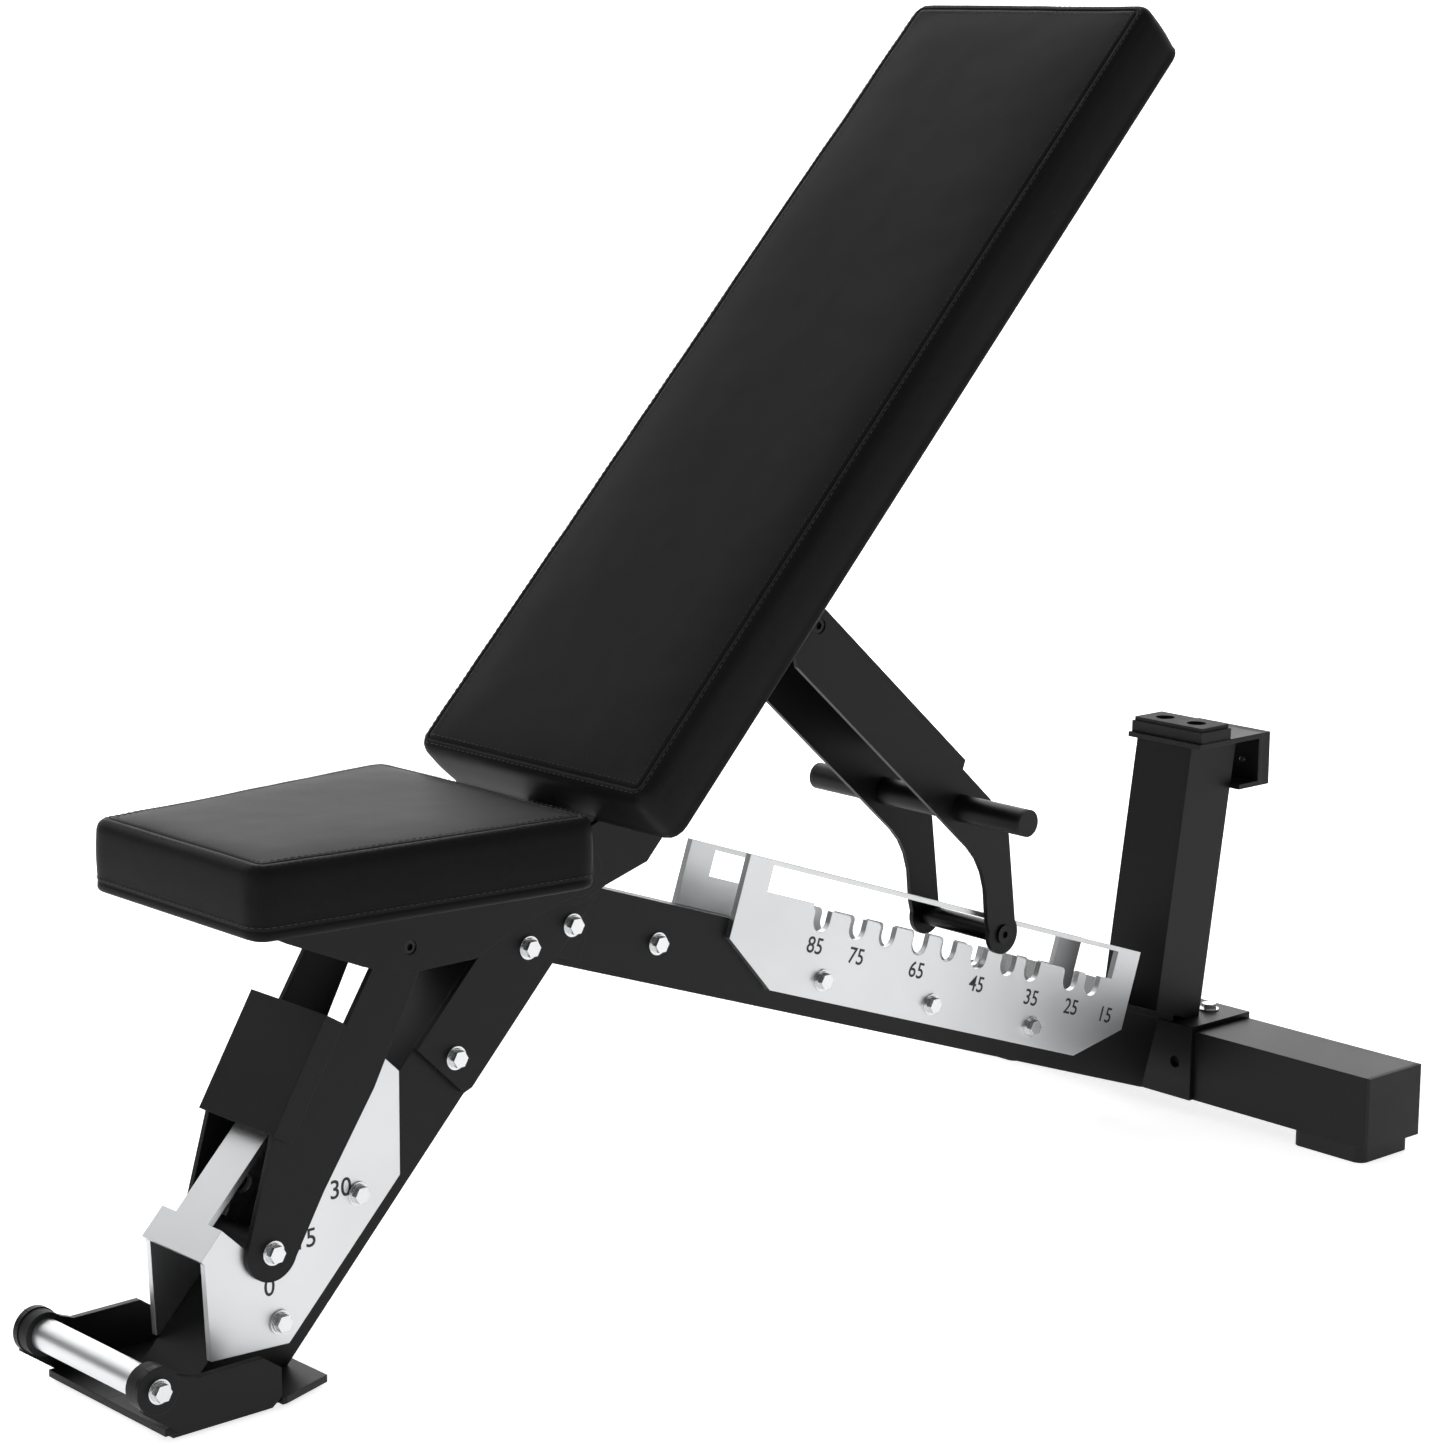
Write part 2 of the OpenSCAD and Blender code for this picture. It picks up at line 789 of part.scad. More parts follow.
module arm_flange() {
  plate(-out_out, thin_t)
    difference() {
      union() {
        polygon([[-8, arm_up], [web_end, arm_up], [web_end + 3, arm_up - 8], [web_end + 53, arm_up - 8.4],
          [bar_local[0] - 59, 74 + bar_local[1]], bar_local + [7.7, 15.6], bar_local + [17, 4],
          bar_local + [-16, -9], bar_local + [-26, -2.5], bar_local + [-35.4, 6],
          bar_local + [-49, 18.5], bar_local + [-64.3, 27.8], bar_local + [-79, 33], bar_local + [-94.4, 35],
          [4, arm_down], [-24, -24], [-24, 2]]);
        translate(bar_local) circle(19);
      }
      circle(d = 14 + 2 * slip);
      translate(bar_local) circle(d = 12);
      translate(hand_local) circle(d = 25);
    }
}

module support_arm() {
  color(black)
    on_arm() {
      both() arm_flange();
      translate([22, -out_in - 1, arm_up - thin_t]) cube([web_end - 22, 2 * out_in + 2, thin_t]);
    }
}

module arm_handle() {
  color(black)
    on_arm()
      at_point(hand_local)
        difference() {
          across(25, -arm_handle_l / 2, arm_handle_l / 2);
          across(20, -arm_handle_l, arm_handle_l);
        }
}

module arm_handle_caps() {
  color(rubber)
    on_arm()
      at_point(hand_local)
        both() {
          across(20, arm_handle_l / 2 - 16, arm_handle_l / 2 + 0.1);
          across(25, arm_handle_l / 2, arm_handle_l / 2 + 3);
        }
}

module lock_bar() {
  color(steel)
    on_arm()
      at_point(bar_local)
        difference() {
          across(lock_bar_d, -out_in, out_in);
          across(12, -out_in - 1, out_in + 1);
        }
}

module lock_bar_bolts() {
  color(black)
    on_arm()
      at_point(bar_local)
        difference() {
          union() {
            across(12, -out_out, out_out);
            both() across(18, out_out, out_out + 2.5);
          }
          for (side = [-1, 1])
            translate([0, side * (out_out + 2) + 3, 0])
              rotate([90, 0, 0]) cylinder(d = 7, h = 6, $fn = 6);
        }
}

// ---- seat ----

module seat_pad() {
  color(vinyl)
    difference() {
      translate([seat_rear, 0, seat_board_top])
        mirror([1, 0, 0])
          soft_block(seat_l, seat_rear_w, seat_front_w, pad_t, 18, pad_round, 12);
      seat_board_block();
    }
}

module seat_board_block() {
  translate([0, 0, seat_board_top])
    linear_extrude(board_t)
      polygon([[seat_rear - board_inset, seat_rear_w / 2 - board_inset],
        [seat_rear - seat_l + board_inset, seat_front_w / 2 - board_inset],
        [seat_rear - seat_l + board_inset, -seat_front_w / 2 + board_inset],
        [seat_rear - board_inset, -seat_rear_w / 2 + board_inset]]);
}

module seat_board() {
  color(wood) seat_board_block();
}

seat_front = seat_rear - seat_l + 54;
module seat_channel() {
  color(black)
    difference() {
      union() {
        translate([seat_front, -out_in, seat_web_top - seat_top_t])
          cube([seat_rear - 20 - seat_front, 2 * out_in, seat_top_t]);
        translate([seat_front, -out_in, seat_web_top - 12]) cube([seat_top_t, 2 * out_in, 12]);
      }
      for (x = [seat_front + 30, seat_rear - 70])
        for (y = [-25, 25])
          translate([x, y, seat_web_top - 10]) cylinder(d = 8, h = 20);
    }
}

module seat_side() {
  top = seat_web_top;
  color(black)
    plate(-out_out, thin_t)
      difference() {
        union() {
          translate(hinge) circle(22);
          translate(strut_at) circle(22);
          polygon([[seat_front, top], [seat_front, top - 13], [seat_front + 20, top - 23],
            strut_at + [-47, -8], strut_at + [-8, -21], strut_at + [66, -21], hinge + [-70, -38],
            hinge + [-8, -20.5], hinge + [8, 20.5], [seat_rear + 2, top]]);
        }
        translate(hinge) circle(d = 16 + 2 * slip);
        translate(strut_at) circle(d = 12);
      }
}
module seat_side_left() { mirror([0, 1, 0]) seat_side(); }
module seat_side_right() { seat_side(); }

module seat_screws() {
  color(steel)
    for (x = [seat_front + 30, seat_rear - 70])
      for (y = [-25, 25])
        translate([x, y, seat_web_top - seat_top_t - 5]) {
          cylinder(d = 16, h = 5);
          cylinder(d = 8, h = 10);
        }
}

module strut_bolts() {
  color(black)
    both()
      at_point(strut_at)
        difference() {
          union() {
            across(12, -out_out + 1, -mid_in + 0.1);
            across(20, -mid_in + 0.3, -mid_in + 4.3);
            across(12, -mid_in - 0.1, -mid_in + 0.4);
          }
          translate([0, -out_out + 4, 0])
            rotate([90, 0, 0]) cylinder(d = 6, h = 6, $fn = 6);
        }
}

// ---- seat strut ----

strut_dir = atan2(strut_at[1] - pin_at[1], strut_at[0] - pin_at[0]);
module on_strut() {
  translate([pin_at[0], 0, pin_at[1]])
    rotate([0, -strut_dir, 0]) children();
}

cover_t = 4;
cover_z = 46;                         // inner face of the cover in front of the strut's centre line
cover_start = 82;                     // from the lock pin, up the strut
cover_end = 185;

module strut() {
  color(black)
    on_strut()
      plate(-mid_out, thin_t)
        difference() {
          union() {
            circle(24);
            translate([strut_reach, 0]) circle(22);
            polygon([[-4, -23.6], [60, -23], [150, -28], [strut_reach, -22], [strut_reach, 22],
              [cover_end, 24], [cover_end, cover_z], [cover_start, cover_z], [-4, 23.6]]);
          }
          circle(d = pin_d);
          translate([strut_reach, 0]) circle(d = 12 + 2 * slip);
        }
}
module strut_left() { mirror([0, 1, 0]) strut(); }
module strut_right() { strut(); }

module strut_cover() {
  // bent plate over the front edges of the two strut legs
  color(black)
    on_strut() {
      translate([cover_start, -mid_out - cover_t, cover_z])
        cube([cover_end - cover_start, 2 * (mid_out + cover_t), cover_t]);
      both()
        translate([cover_start, -mid_out - cover_t, cover_z - 16])
          cube([cover_end - cover_start, cover_t, 16.1]);
    }
}

module lock_pin() {
  color(steel)
    at_point(pin_at) across(pin_d, -mid_out, mid_out);
}

module lock_pin_sleeve() {
  color(rubber)
    at_point(pin_at)
      difference() {
        across(sleeve_d, -half + 1, half - 1);
        across(pin_d, -half, half);
      }
}

module lock_pin_bolts() {
  color(steel)
    both() translate([pin_at[0], -mid_out, pin_at[1]]) flange_bolt(0.01);
}

main_spine();
front_leg();
gusset_left();
gusset_right();
gusset_bolts();
main_pivot_pin();
back_ladder_left();
back_ladder_right();
back_ladder_bolts();
seat_ladder();
seat_ladder_bolts();
front_foot_base();
foot_side_left();
foot_side_right();
front_foot_pads();
front_handle();
handle_rings();
handle_bolts();
rear_foot_bar();
foot_bar_caps();
rear_rubber_feet();
saddle();
saddle_bolts();
rear_post();
post_base_plate();
post_bracket();
post_bumper();
bumper_screws();
upright_bumper();
upright_screws();
back_pad();
back_board();
back_tube();
back_tube_cap();
hinge_plate_left();
hinge_plate_right();
arm_lugs();
arm_pivot_pin();
back_screws();
support_arm();
arm_handle();
arm_handle_caps();
lock_bar();
lock_bar_bolts();
seat_pad();
seat_board();
seat_channel();
seat_side_left();
seat_side_right();
seat_screws();
strut_bolts();
strut_left();
strut_right();
strut_cover();
lock_pin();
lock_pin_sleeve();
lock_pin_bolts();
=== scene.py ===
import json
import math

import bmesh
import bpy
from mathutils import Matrix, Vector, noise


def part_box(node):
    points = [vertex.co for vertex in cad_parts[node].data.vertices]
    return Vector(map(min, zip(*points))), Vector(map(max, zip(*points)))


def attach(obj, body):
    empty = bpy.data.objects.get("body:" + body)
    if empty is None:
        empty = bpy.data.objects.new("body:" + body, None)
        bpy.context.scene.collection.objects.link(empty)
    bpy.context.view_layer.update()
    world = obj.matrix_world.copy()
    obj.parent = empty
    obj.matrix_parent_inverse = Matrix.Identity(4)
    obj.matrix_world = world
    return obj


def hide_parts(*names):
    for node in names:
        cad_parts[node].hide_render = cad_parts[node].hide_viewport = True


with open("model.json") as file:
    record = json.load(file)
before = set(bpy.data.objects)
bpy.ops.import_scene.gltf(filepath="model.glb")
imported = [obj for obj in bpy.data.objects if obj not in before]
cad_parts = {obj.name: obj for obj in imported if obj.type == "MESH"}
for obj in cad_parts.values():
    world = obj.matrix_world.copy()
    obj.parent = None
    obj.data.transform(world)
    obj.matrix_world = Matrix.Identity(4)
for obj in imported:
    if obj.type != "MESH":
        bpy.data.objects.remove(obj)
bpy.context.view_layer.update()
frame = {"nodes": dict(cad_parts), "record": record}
nodes = frame["nodes"]
MM = 0.001

# The hinge line and the slopes of the part's main members
HINGE = Vector((-0.2205, 0.0, 0.371))
HINGE_RISE = 10.6 * MM          # hinge axis above the spine's top face
SPINE_SLOPE = math.radians(18.9)
LEG_ANGLE = math.radians(46.4)
RECLINE = math.radians(46.6)


# ---------- materials ----------

def new_material(name):
    mat = bpy.data.materials.new(name)
    mat.use_nodes = True
    tree = mat.node_tree
    bsdf = tree.nodes["Principled BSDF"]
    return mat, tree, bsdf


def add_noise(tree, scale, detail=3.0, stretch=None):
    coord = tree.nodes.new("ShaderNodeTexCoord")
    tex = tree.nodes.new("ShaderNodeTexNoise")
    tex.inputs["Scale"].default_value = scale
    tex.inputs["Detail"].default_value = detail
    if stretch:
        mapping = tree.nodes.new("ShaderNodeMapping")
        mapping.inputs["Scale"].default_value = stretch
        tree.links.new(coord.outputs["Object"], mapping.inputs["Vector"])
        tree.links.new(mapping.outputs["Vector"], tex.inputs["Vector"])
    else:
        tree.links.new(coord.outputs["Object"], tex.inputs["Vector"])
    return tex


def ramp(tree, source, low, high, lo_pos=0.3, hi_pos=0.7):
    node = tree.nodes.new("ShaderNodeValToRGB")
    node.color_ramp.elements[0].position = lo_pos
    node.color_ramp.elements[1].position = hi_pos
    node.color_ramp.elements[0].color = (*low, 1.0)
    node.color_ramp.elements[1].color = (*high, 1.0)
    tree.links.new(source, node.inputs["Fac"])
    return node.outputs["Color"]


def map_range(tree, source, lo, hi):
    node = tree.nodes.new("ShaderNodeMapRange")
    node.inputs["To Min"].default_value = lo
    node.inputs["To Max"].default_value = hi
    tree.links.new(source, node.inputs["Value"])
    return node.outputs["Result"]


def bump(tree, bsdf, height, strength, distance, edge=0.0):
    node = tree.nodes.new("ShaderNodeBump")
    if edge:
        bevel = tree.nodes.new("ShaderNodeBevel")
        bevel.samples = 4
        bevel.inputs["Radius"].default_value = edge
        tree.links.new(bevel.outputs["Normal"], node.inputs["Normal"])
    node.inputs["Strength"].default_value = strength
    node.inputs["Distance"].default_value = distance
    tree.links.new(height, node.inputs["Height"])
    tree.links.new(node.outputs["Normal"], bsdf.inputs["Normal"])


def powder_coat():
    """Black paint with a fine texture."""
    mat, tree, bsdf = new_material("powder_coat_black")
    tone = add_noise(tree, 7.0, 4.0)
    tree.links.new(ramp(tree, tone.outputs["Fac"], (0.0042, 0.0042, 0.0045), (0.0070, 0.0070, 0.0074)),
                   bsdf.inputs["Base Color"])
    tree.links.new(map_range(tree, tone.outputs["Fac"], 0.36, 0.50), bsdf.inputs["Roughness"])
    bsdf.inputs["Specular IOR Level"].default_value = 0.20
    grain = add_noise(tree, 900.0, 2.0)
    bump(tree, bsdf, grain.outputs["Fac"], 0.16, 0.0004, 0.0009)
    return mat


def metal(name, low, high, rough, grain_scale, grain_strength, streak=None):
    """Satin metal: two tones, a roughness range and a fine grain, drawn out where streak says."""
    mat, tree, bsdf = new_material(name)
    bsdf.inputs["Metallic"].default_value = 1.0
    tone = add_noise(tree, 5.0, 3.0)
    tree.links.new(ramp(tree, tone.outputs["Fac"], low, high), bsdf.inputs["Base Color"])
    tree.links.new(map_range(tree, tone.outputs["Fac"], rough[0], rough[1]), bsdf.inputs["Roughness"])
    grain = add_noise(tree, grain_scale, 2.0, streak)
    bump(tree, bsdf, grain.outputs["Fac"], grain_strength, 0.0003, 0.0006)
    return mat


def rubber():
    mat, tree, bsdf = new_material("rubber_black")
    tone = add_noise(tree, 30.0, 3.0)
    tree.links.new(ramp(tree, tone.outputs["Fac"], (0.0045, 0.0045, 0.0045), (0.009, 0.009, 0.009)),
                   bsdf.inputs["Base Color"])
    tree.links.new(map_range(tree, tone.outputs["Fac"], 0.55, 0.72), bsdf.inputs["Roughness"])
    bsdf.inputs["Specular IOR Level"].default_value = 0.35
    grain = add_noise(tree, 500.0, 2.0)
    bump(tree, bsdf, grain.outputs["Fac"], 0.15, 0.0004)
    return mat


def vinyl():
    """Black vinyl with a pebble grain over broad soft waves."""
    mat, tree, bsdf = new_material("vinyl_black")
    tone = add_noise(tree, 4.0, 4.0)
    tree.links.new(ramp(tree, tone.outputs["Fac"], (0.0070, 0.0070, 0.0073), (0.0100, 0.0100, 0.0104)),
                   bsdf.inputs["Base Color"])
    tree.links.new(map_range(tree, tone.outputs["Fac"], 0.42, 0.54), bsdf.inputs["Roughness"])
    bsdf.inputs["Specular IOR Level"].default_value = 0.07
    coord = tree.nodes.new("ShaderNodeTexCoord")
    cells = tree.nodes.new("ShaderNodeTexVoronoi")
    cells.feature = "DISTANCE_TO_EDGE"
    cells.inputs["Scale"].default_value = 620.0
    tree.links.new(coord.outputs["Object"], cells.inputs["Vector"])
    pebble = map_range(tree, cells.outputs["Distance"], 0.0, 1.0)
    soft = add_noise(tree, 55.0, 3.0)
    mix = tree.nodes.new("ShaderNodeMath")
    mix.operation = "MULTIPLY_ADD"
    mix.inputs[1].default_value = 0.8
    tree.links.new(pebble, mix.inputs[0])
    tree.links.new(soft.outputs["Fac"], mix.inputs[2])
    bump(tree, bsdf, mix.outputs["Value"], 0.28, 0.0006)
    return mat


def thread():
    mat, tree, bsdf = new_material("thread_black")
    tone = add_noise(tree, 300.0, 2.0)
    tree.links.new(ramp(tree, tone.outputs["Fac"], (0.02, 0.02, 0.02), (0.035, 0.035, 0.035)),
                   bsdf.inputs["Base Color"])
    bsdf.inputs["Roughness"].default_value = 0.6
    return mat


def backing():
    mat, tree, bsdf = new_material("backing_cloth")
    weave = add_noise(tree, 700.0, 1.0)
    tree.links.new(ramp(tree, weave.outputs["Fac"], (0.010, 0.010, 0.010), (0.022, 0.022, 0.022)),
                   bsdf.inputs["Base Color"])
    bsdf.inputs["Roughness"].default_value = 0.85
    bump(tree, bsdf, weave.outputs["Fac"], 0.3, 0.0005)
    return mat


MATS = {
    "powder_coat": powder_coat(),
    "plate_steel": metal("steel_plate", (0.62, 0.63, 0.64), (0.74, 0.75, 0.76), (0.32, 0.44), 260.0, 0.10,
                         (1.0, 1.0, 6.0)),
    "tube_steel": metal("steel_tube", (0.66, 0.67, 0.68), (0.78, 0.79, 0.80), (0.36, 0.46), 300.0, 0.08,
                        (8.0, 0.6, 8.0)),
    "zinc": metal("zinc_bright", (0.62, 0.63, 0.64), (0.76, 0.77, 0.78), (0.18, 0.30), 400.0, 0.05),
    "black_bolt": metal("bolt_black", (0.02, 0.02, 0.02), (0.035, 0.035, 0.035), (0.32, 0.42), 400.0, 0.05),
    "rubber": rubber(),
    "vinyl": vinyl(),
    "board": backing(),
    "thread": thread(),
}
PRINT, _, print_bsdf = new_material("print_black")
print_bsdf.inputs["Base Color"].default_value = (0.012, 0.012, 0.012, 1.0)
print_bsdf.inputs["Roughness"].default_value = 0.5

slots = {entry["node"]: entry["material_slot"] for entry in frame["record"]["subparts"]}
for name, obj in nodes.items():
    obj.data.materials.clear()
    obj.data.materials.append(MATS[slots[name]])


# ---------- cushions ----------

def make_object(name, verts, faces, mat, smooth=True):
    mesh = bpy.data.meshes.new(name)
    mesh.from_pydata([tuple(v) for v in verts], [], faces)
    mesh.validate()
    mesh.update()
    obj = bpy.data.objects.new(name, mesh)
    bpy.context.scene.collection.objects.link(obj)
    mesh.materials.append(mat)
    for poly in mesh.polygons:
        poly.use_smooth = smooth
    return obj


class PadShape:
    """A tapered pad: x runs along it, y across, z up from the board."""

    def __init__(self, length, width0, width1, corner):
        self.length, self.w0, self.w1, self.corner = length, width0, width1, corner

    def half(self, x):
        return 0.5 * (self.w0 + (self.w1 - self.w0) * x / self.length)

    def outline(self, step):
        """Points round the plan, with outward normals, evenly spaced."""
        r, l = self.corner, self.length
        tilt = math.atan2(0.5 * (self.w1 - self.w0), l)
        pts = []

        def line(a, b, n):
            count = max(2, int((b - a).length / step))
            for i in range(count):
                pts.append((a.lerp(b, i / count), n))

        def arc(c, a0, a1):
            count = max(4, int(abs(a1 - a0) * r / step))
            for i in range(count):
                a = a0 + (a1 - a0) * i / count
                n = Vector((math.cos(a), math.sin(a)))
                pts.append((c + r * n, n))

        c_a = Vector((r, -self.half(0) + r))
        c_b = Vector((l - r, -self.half(l) + r))
        c_c = Vector((l - r, self.half(l) - r))
        c_d = Vector((r, self.half(0) - r))
        n_low = Vector((math.sin(-tilt), -math.cos(tilt)))
        n_high = Vector((math.sin(-tilt), math.cos(tilt)))
        right, left = Vector((1, 0)), Vector((-1, 0))
        a_low = math.atan2(n_low.y, n_low.x)
        a_high = math.atan2(n_high.y, n_high.x)
        line(c_a + r * n_low, c_b + r * n_low, n_low)
        arc(c_b, a_low, 0.0)
        line(c_b + r * right, c_c + r * right, right)
        arc(c_c, 0.0, a_high)
        line(c_c + r * n_high, c_d + r * n_high, n_high)
        arc(c_d, a_high, math.pi)
        line(c_d + r * left, c_a + r * left, left)
        arc(c_a, math.pi, 2 * math.pi + a_low)
        return pts

    def inset(self, p, n, d):
        """The outline point p moved d inwards, never past the pad's middle line."""
        reach = min(self.half(0), self.half(self.length)) * 0.96
        start, end = reach, self.length - reach
        spine = Vector((min(max(p.x, start), end), 0.0))
        limit = (spine - p).length
        first = min(self.corner * 0.8, limit)
        if d <= first:
            return p - n * d
        corner = p - n * first
        share = min(1.0, (d - first) / max(1e-6, reach - first))
        return corner.lerp(spine, share)


END_POWER = 14                  # how squarely the crown falls off at a pad's two ends
SIDE_POWER = 5                  # and at its two sides
SHOULDER = 0.0085               # rounding between a pad's side and its top
TOP_ROWS = 20                   # rows of faces from the seam to the middle
RING_STEP = 0.0065              # spacing of points round a pad


def pad_profile(thick, crown, reach, seam_low):
    """(inset, height) pairs from under the edge, up the side and over to the middle."""
    prof = [(0.030, 0.0), (0.014, 0.0), (0.0065, 0.0004), (0.0030, 0.0018), (0.0012, 0.0045)]
    top = thick - crown
    side0, side1 = 0.008, top - SHOULDER - 0.001
    steps = 7
    for i in range(steps + 1):
        t = i / steps
        bulge = 0.0010 * math.sin(math.pi * t)
        prof.append((0.0018 - bulge, side0 + (side1 - side0) * t))
    if seam_low:
        prof = [q for q in prof if q[1] < side0 or q[1] > side0 + 0.004]
        prof[5:5] = [(0.0014, 0.0085), (0.0021, 0.0094), (0.0014, 0.0103)]
    # rounded shoulder up to the seam
    r = SHOULDER
    for k in range(1, 8):
        a = math.radians(84 * k / 7)
        prof.append((0.0022 + r - r * math.cos(a), side1 + r * math.sin(a)))
    x0, z0 = prof[-1]
    prof += [(x0 + 0.0012, z0 + 0.0001), (x0 + 0.0022, z0 - 0.0013), (x0 + 0.0032, z0 + 0.0002)]
    seam = x0 + 0.0022
    x1, z1 = prof[-1]
    flat_from = len(prof)
    for k in range(1, TOP_ROWS):
        prof.append((x1 + (reach - x1) * (k / TOP_ROWS) ** 1.35, z1))
    prof.append((x1 + (reach - x1) * 0.985, z1))
    return prof, seam, z0, flat_from


def make_pad(name, shape, thick, crown, seam_low, seed):
    ring = shape.outline(RING_STEP)
    reach = min(shape.half(0), shape.half(shape.length)) * 0.96
    prof, seam, seam_z, flat_from = pad_profile(thick, crown, reach, seam_low)
    verts, faces = [], []
    n = len(ring)
    for row, (d, z) in enumerate(prof):
        for p, nrm in ring:
            q = shape.inset(p, nrm, d)
            v = Vector((q.x, q.y, z))
            if row >= flat_from:
                # the top panel swells smoothly from its seam to the middle
                across = min(1.0, abs(q.y) / (shape.half(q.x) - seam))
                along = min(1.0, abs(2 * q.x / shape.length - 1) / (1 - 2 * seam / shape.length))
                v.z += (thick - z) * (1 - across ** SIDE_POWER) * (1 - along ** END_POWER)
            # gentle unevenness of foam under vinyl, none at the board
            lift = min(1.0, z / thick)
            soft = noise.noise(Vector((v.x * 9 + seed, v.y * 9, v.z * 6)))
            fine = noise.noise(Vector((v.x * 34 + seed, v.y * 34, v.z * 20)))
            push = (0.0007 * soft + 0.00025 * fine) * lift
            v.z += push if z > thick * 0.6 else 0.0
            if z < thick - crown and lift > 0.1:
                v.x += nrm.x * push * 0.8
                v.y += nrm.y * push * 0.8
            verts.append(v)
    for i in range(len(prof) - 1):
        for j in range(n):
            k = (j + 1) % n
            faces.append((i * n + j, i * n + k, (i + 1) * n + k, (i + 1) * n + j))
    faces.append(tuple(reversed(range(n))))
    faces.append(tuple(range((len(prof) - 1) * n, len(prof) * n)))
    obj = make_object(name, verts, faces, MATS["vinyl"])
    bm = bmesh.new()
    bm.from_mesh(obj.data)
    bmesh.ops.remove_doubles(bm, verts=bm.verts, dist=0.00008)
    bmesh.ops.recalc_face_normals(bm, faces=bm.faces)
    bm.to_mesh(obj.data)
    bm.free()
    for poly in obj.data.polygons:
        poly.use_smooth = True
    return obj, seam, seam_z


def make_stitches(name, shape, rows, pitch=0.0052, length=0.0036, width=0.0007):
    """Rows of small raised stitches; each row is (inset, height, sideways tilt)."""
    verts, faces = [], []
    for d, z, tilt in rows:
        path = shape.outline(0.002)
        pts = [shape.inset(p, nrm, d) for p, nrm in path]
        nrms = [nrm for _, nrm in path]
        total, last, due = 0.0, pts[-1], 0.0
        for i, p in enumerate(pts):
            total += (p - last).length
            if total >= due:
                due = total + pitch
                along = (p - last).normalized()
                out = Vector((nrms[i].x, nrms[i].y, 0.0))
                fwd = Vector((along.x, along.y, 0.0))
                up = (Vector((0, 0, 1)) * math.cos(tilt) + out * math.sin(tilt)).normalized()
                side = fwd.cross(up).normalized()
                base = Vector((p.x, p.y, z))
                ends = ((-0.5, 0.25), (-0.3, 0.9), (0.3, 0.9), (0.5, 0.25))
                first = len(verts)
                for t, h in ends:
                    for s in (-1.0, 1.0):
                        foot = side * s * width * 0.5 + up * width * (h - 0.5)
                        verts.append(base + fwd * length * t + foot)
                    verts.append(base + fwd * length * t + up * width * (h + 0.05))
                for e in range(3):
                    a, b = first + e * 3, first + (e + 1) * 3
                    faces.append((a, b, b + 2, a + 2))
                    faces.append((a + 2, b + 2, b + 1, a + 1))
                    faces.append((a + 1, b + 1, b, a))
            last = p
    return make_object(name, verts, faces, MATS["thread"])


def finish_pad(pad, stitches, matrix, body, node):
    for obj in (pad, stitches):
        obj.data.transform(matrix)
        obj.data.update()
        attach(obj, body)
    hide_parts(node)


# Back pad: in the back frame x runs up the pad from the hinge
PAD_T = 60 * MM
BOARD_TOP = 8 * MM
back_shape = PadShape(873 * MM, 299 * MM, 292 * MM, 17 * MM)
back_pad, seam, seam_z = make_pad("back_cushion", back_shape, PAD_T + 3 * MM, 2.5 * MM, False, 3.1)
back_stitch = make_stitches("back_cushion_stitching", back_shape,
                            [(seam - 0.0042, seam_z - 0.0003, 0.2), (seam + 0.0040, seam_z + 0.0009, 0.0)])
back_matrix = (Matrix.Translation(HINGE) @ Matrix.Rotation(-RECLINE, 4, "Y")
               @ Matrix.Translation((41 * MM, 0, BOARD_TOP)))
finish_pad(back_pad, back_stitch, back_matrix, "back", "back_pad")

# Seat pad: its narrow end is at the front
SEAT_L = 315.5 * MM
seat_shape = PadShape(SEAT_L, 233 * MM, 288 * MM, 18 * MM)
seat_pad, seam, seam_z = make_pad("seat_cushion", seat_shape, PAD_T + 2.5 * MM, 2.5 * MM, True, 8.7)
seat_stitch = make_stitches("seat_cushion_stitching", seat_shape,
                            [(seam - 0.0042, seam_z - 0.0003, 0.2), (seam + 0.0040, seam_z + 0.0009, 0.0),
                             (0.0012, 0.0125, math.pi / 2)])
seat_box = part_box("seat_pad")
seat_matrix = Matrix.Translation((seat_box[0][0] + 0.5 * MM, 0, seat_box[0][2]))
finish_pad(seat_pad, seat_stitch, seat_matrix, "seat", "seat_pad")


# ---------- ladder numbers ----------

def number(text, size, matrix):
    curve = bpy.data.curves.new("number", "FONT")
    curve.body = text
    curve.size = size
    curve.align_x = "CENTER"
    curve.align_y = "CENTER"
    curve.extrude = 0.00006
    curve.offset = size * 0.008
    curve.resolution_u = 4
    obj = bpy.data.objects.new("number", curve)
    bpy.context.scene.collection.objects.link(obj)
    bpy.context.view_layer.update()
    mesh = bpy.data.meshes.new_from_object(obj.evaluated_get(bpy.context.evaluated_depsgraph_get()))
    mesh.transform(matrix)
    bpy.data.objects.remove(obj)
    return mesh


def number_set(name, entries, body):
    bm = bmesh.new()
    for text, size, matrix in entries:
        bm.from_mesh(number(text, size, matrix))
    mesh = bpy.data.meshes.new(name)
    bm.to_mesh(mesh)
    bm.free()
    mesh.materials.append(PRINT)
    obj = bpy.data.objects.new(name, mesh)
    bpy.context.scene.collection.objects.link(obj)
    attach(obj, body)
    return obj


def in_frame(origin, slope, along, up, y, side):
    """Stand text upright on a side plate: side -1 is the plate facing -Y, +1 the one facing +Y."""
    face = Matrix.Rotation(math.pi / 2, 4, "X")
    if side > 0:
        face = Matrix.Rotation(math.pi, 4, "Z") @ face
    return (Matrix.Translation(origin) @ Matrix.Rotation(slope, 4, "Y")
            @ Matrix.Translation((along, side * y, up)) @ face)


PLATE_FACE = 41.05 * MM         # outer face of both ladders, from the centre plane
BACK_TEXT = 21 * MM
SEAT_TEXT = 22 * MM
spine_origin = HINGE - Vector((math.sin(SPINE_SLOPE), 0, math.cos(SPINE_SLOPE))) * HINGE_RISE
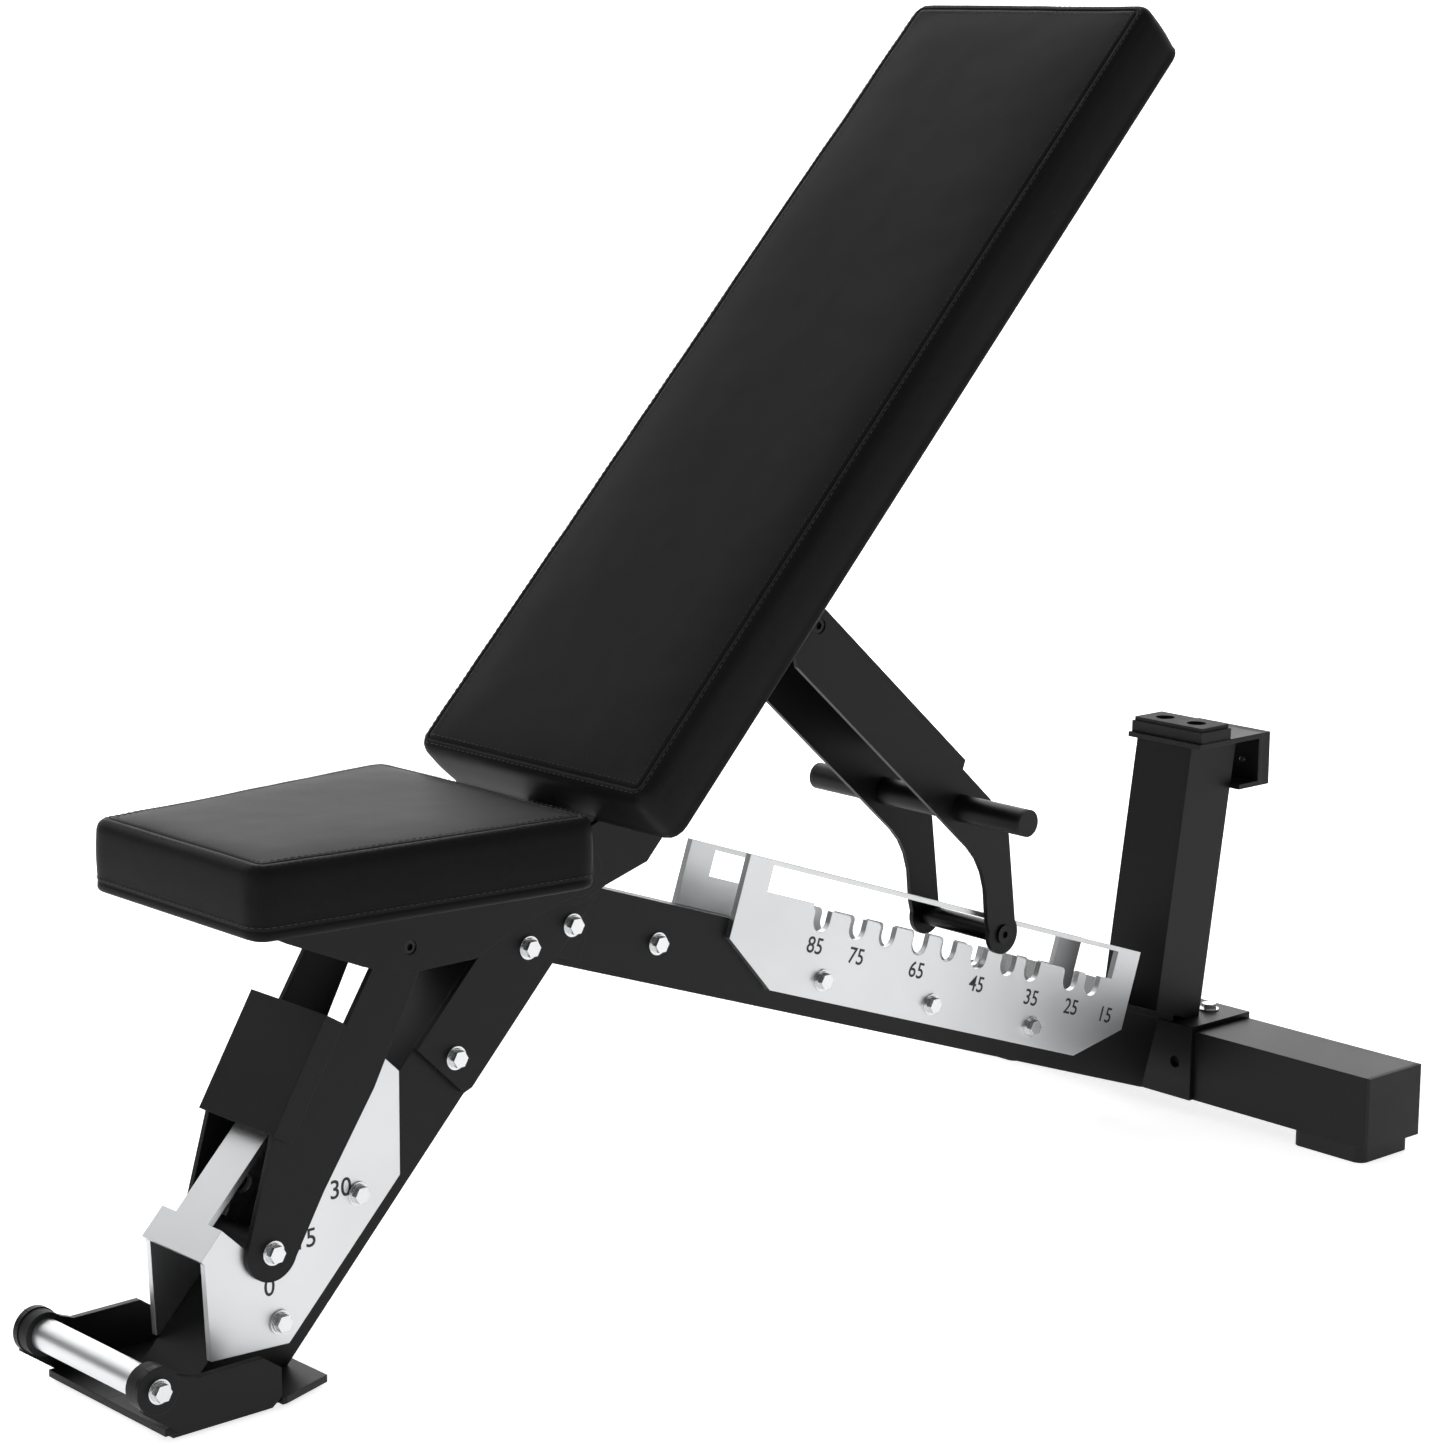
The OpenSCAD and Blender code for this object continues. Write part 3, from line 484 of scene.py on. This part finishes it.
# Each mark: its text, its place along the spine or the leg, and its height from that line, in mm
BACK_MARKS = [("85", 303.5, -7), ("75", 358.5, -8), ("65", 440.5, -8), ("45", 525.5, -8),
              ("35", 605.5, -9), ("25", 665.5, -9), ("15", 717.5, -9)]
SEAT_MARKS = [("30", -329, 19.5), ("15", -378, 21), ("0", -425, 25)]
for side, tag in ((-1, "near"), (1, "far")):
    number_set("back_ladder_numbers_" + tag,
               [(t, BACK_TEXT, in_frame(spine_origin, SPINE_SLOPE, s * MM, n * MM, PLATE_FACE, side))
                for t, s, n in BACK_MARKS], "frame")
    entries = []
    for t, along, up in SEAT_MARKS:
        spot = (HINGE + Vector((math.cos(LEG_ANGLE), 0, math.sin(LEG_ANGLE))) * along * MM
                + Vector((-math.sin(LEG_ANGLE), 0, math.cos(LEG_ANGLE))) * up * MM)
        entries.append((t, SEAT_TEXT, in_frame(spot, 0.0, 0, 0, PLATE_FACE, side)))
    number_set("seat_ladder_numbers_" + tag, entries, "frame")


# ---------- studio ----------

floor_mat, tree, bsdf = new_material("studio_floor")
bsdf.inputs["Base Color"].default_value = (0.86, 0.86, 0.86, 1.0)
bsdf.inputs["Emission Color"].default_value = (1.0, 1.0, 1.0, 1.0)
bsdf.inputs["Emission Strength"].default_value = 0.80
bsdf.inputs["Roughness"].default_value = 0.75
bsdf.inputs["Specular IOR Level"].default_value = 0.2
YAW, PITCH, ROLL = -0.7426, 0.1956, 0.0085
FLOOR_Z = -0.0002
FLOOR_NEAR, FLOOR_FAR = -14.0, 6.0
SWEEP_R = 3.0
SWEEP_TOP = 16.0
SWEEP_HALF = 16.0
# The sweep rises behind the object, square to the view
view = Vector((math.sin(-YAW), math.cos(-YAW), 0.0))
level = Vector((view.y, -view.x, 0.0))
sweep_verts, sweep_faces = [], []
profile = [(FLOOR_NEAR, 0.0), (FLOOR_FAR, 0.0)]
for degrees in range(6, 91, 6):
    a = math.radians(degrees)
    profile.append((FLOOR_FAR + SWEEP_R * math.sin(a), SWEEP_R - SWEEP_R * math.cos(a)))
profile.append((FLOOR_FAR + SWEEP_R, SWEEP_TOP))
for away, height in profile:
    for side in (-SWEEP_HALF, SWEEP_HALF):
        point = view * away + level * side
        sweep_verts.append((point.x, point.y, FLOOR_Z + height))
for i in range(len(profile) - 1):
    sweep_faces.append((2 * i, 2 * i + 1, 2 * i + 3, 2 * i + 2))
floor = make_object("studio_floor", sweep_verts, sweep_faces, floor_mat)

scene = bpy.context.scene
world = bpy.data.worlds.new("studio")
world.use_nodes = True
background = world.node_tree.nodes["Background"]
background.inputs["Color"].default_value = (1.0, 1.0, 1.0, 1.0)
background.inputs["Strength"].default_value = 0.10
scene.world = world
scene.view_settings.view_transform = "Standard"

CENTRE = Vector((0.0, 0.0, 0.5))    # the lights point at the middle of the object


def area(name, azimuth, elevation, distance, size, power):
    light = bpy.data.lights.new(name, "AREA")
    light.shape = "RECTANGLE"
    light.size, light.size_y = size
    light.energy = power
    obj = bpy.data.objects.new(name, light)
    a, e = math.radians(azimuth), math.radians(elevation)
    direction = Vector((math.sin(a) * math.cos(e), -math.cos(a) * math.cos(e), math.sin(e)))
    obj.location = CENTRE + direction * distance
    obj.rotation_euler = direction.to_track_quat("Z", "Y").to_euler()
    bpy.context.scene.collection.objects.link(obj)
    return obj


area("key", -80, 48, 3.4, (1.5, 1.5), 13)
area("fill", 25, 40, 3.6, (1.6, 1.2), 9)
area("rim", 150, 45, 3.4, (1.4, 1.4), 12)
area("top", 0, 88, 3.4, (2.4, 2.0), 9)
area("front", -95, 8, 3.0, (1.2, 0.7), 6)
area("left", -157, 31, 3.4, (2.4, 2.0), 13)
backlight = area("backdrop", 137, 50, 6.0, (6.0, 4.0), 500)
backlight.location = (view.x * 3.0, view.y * 3.0, 4.5)
backlight.rotation_euler = Vector((-view.x, -view.y, 0.55)).to_track_quat("Z", "Y").to_euler()

# The photograph's view, solved from the object's own corners
camera_data = bpy.data.cameras.new("camera")
camera_data.sensor_width = 36.0
camera_data.lens = 89.48
camera = bpy.data.objects.new("camera", camera_data)
bpy.context.scene.collection.objects.link(camera)
back = Vector((math.sin(YAW) * math.cos(PITCH), -math.cos(YAW) * math.cos(PITCH), math.sin(PITCH)))
right = Vector((math.cos(YAW), math.sin(YAW), 0.0))
up = back.cross(right)
rolled_right = right * math.cos(ROLL) + up * math.sin(ROLL)
rolled_up = up * math.cos(ROLL) - right * math.sin(ROLL)
turn = Matrix((rolled_right, rolled_up, back)).transposed().to_4x4()
camera.matrix_world = Matrix.Translation((-2.0884, -2.25883, 1.06948)) @ turn
scene.camera = camera
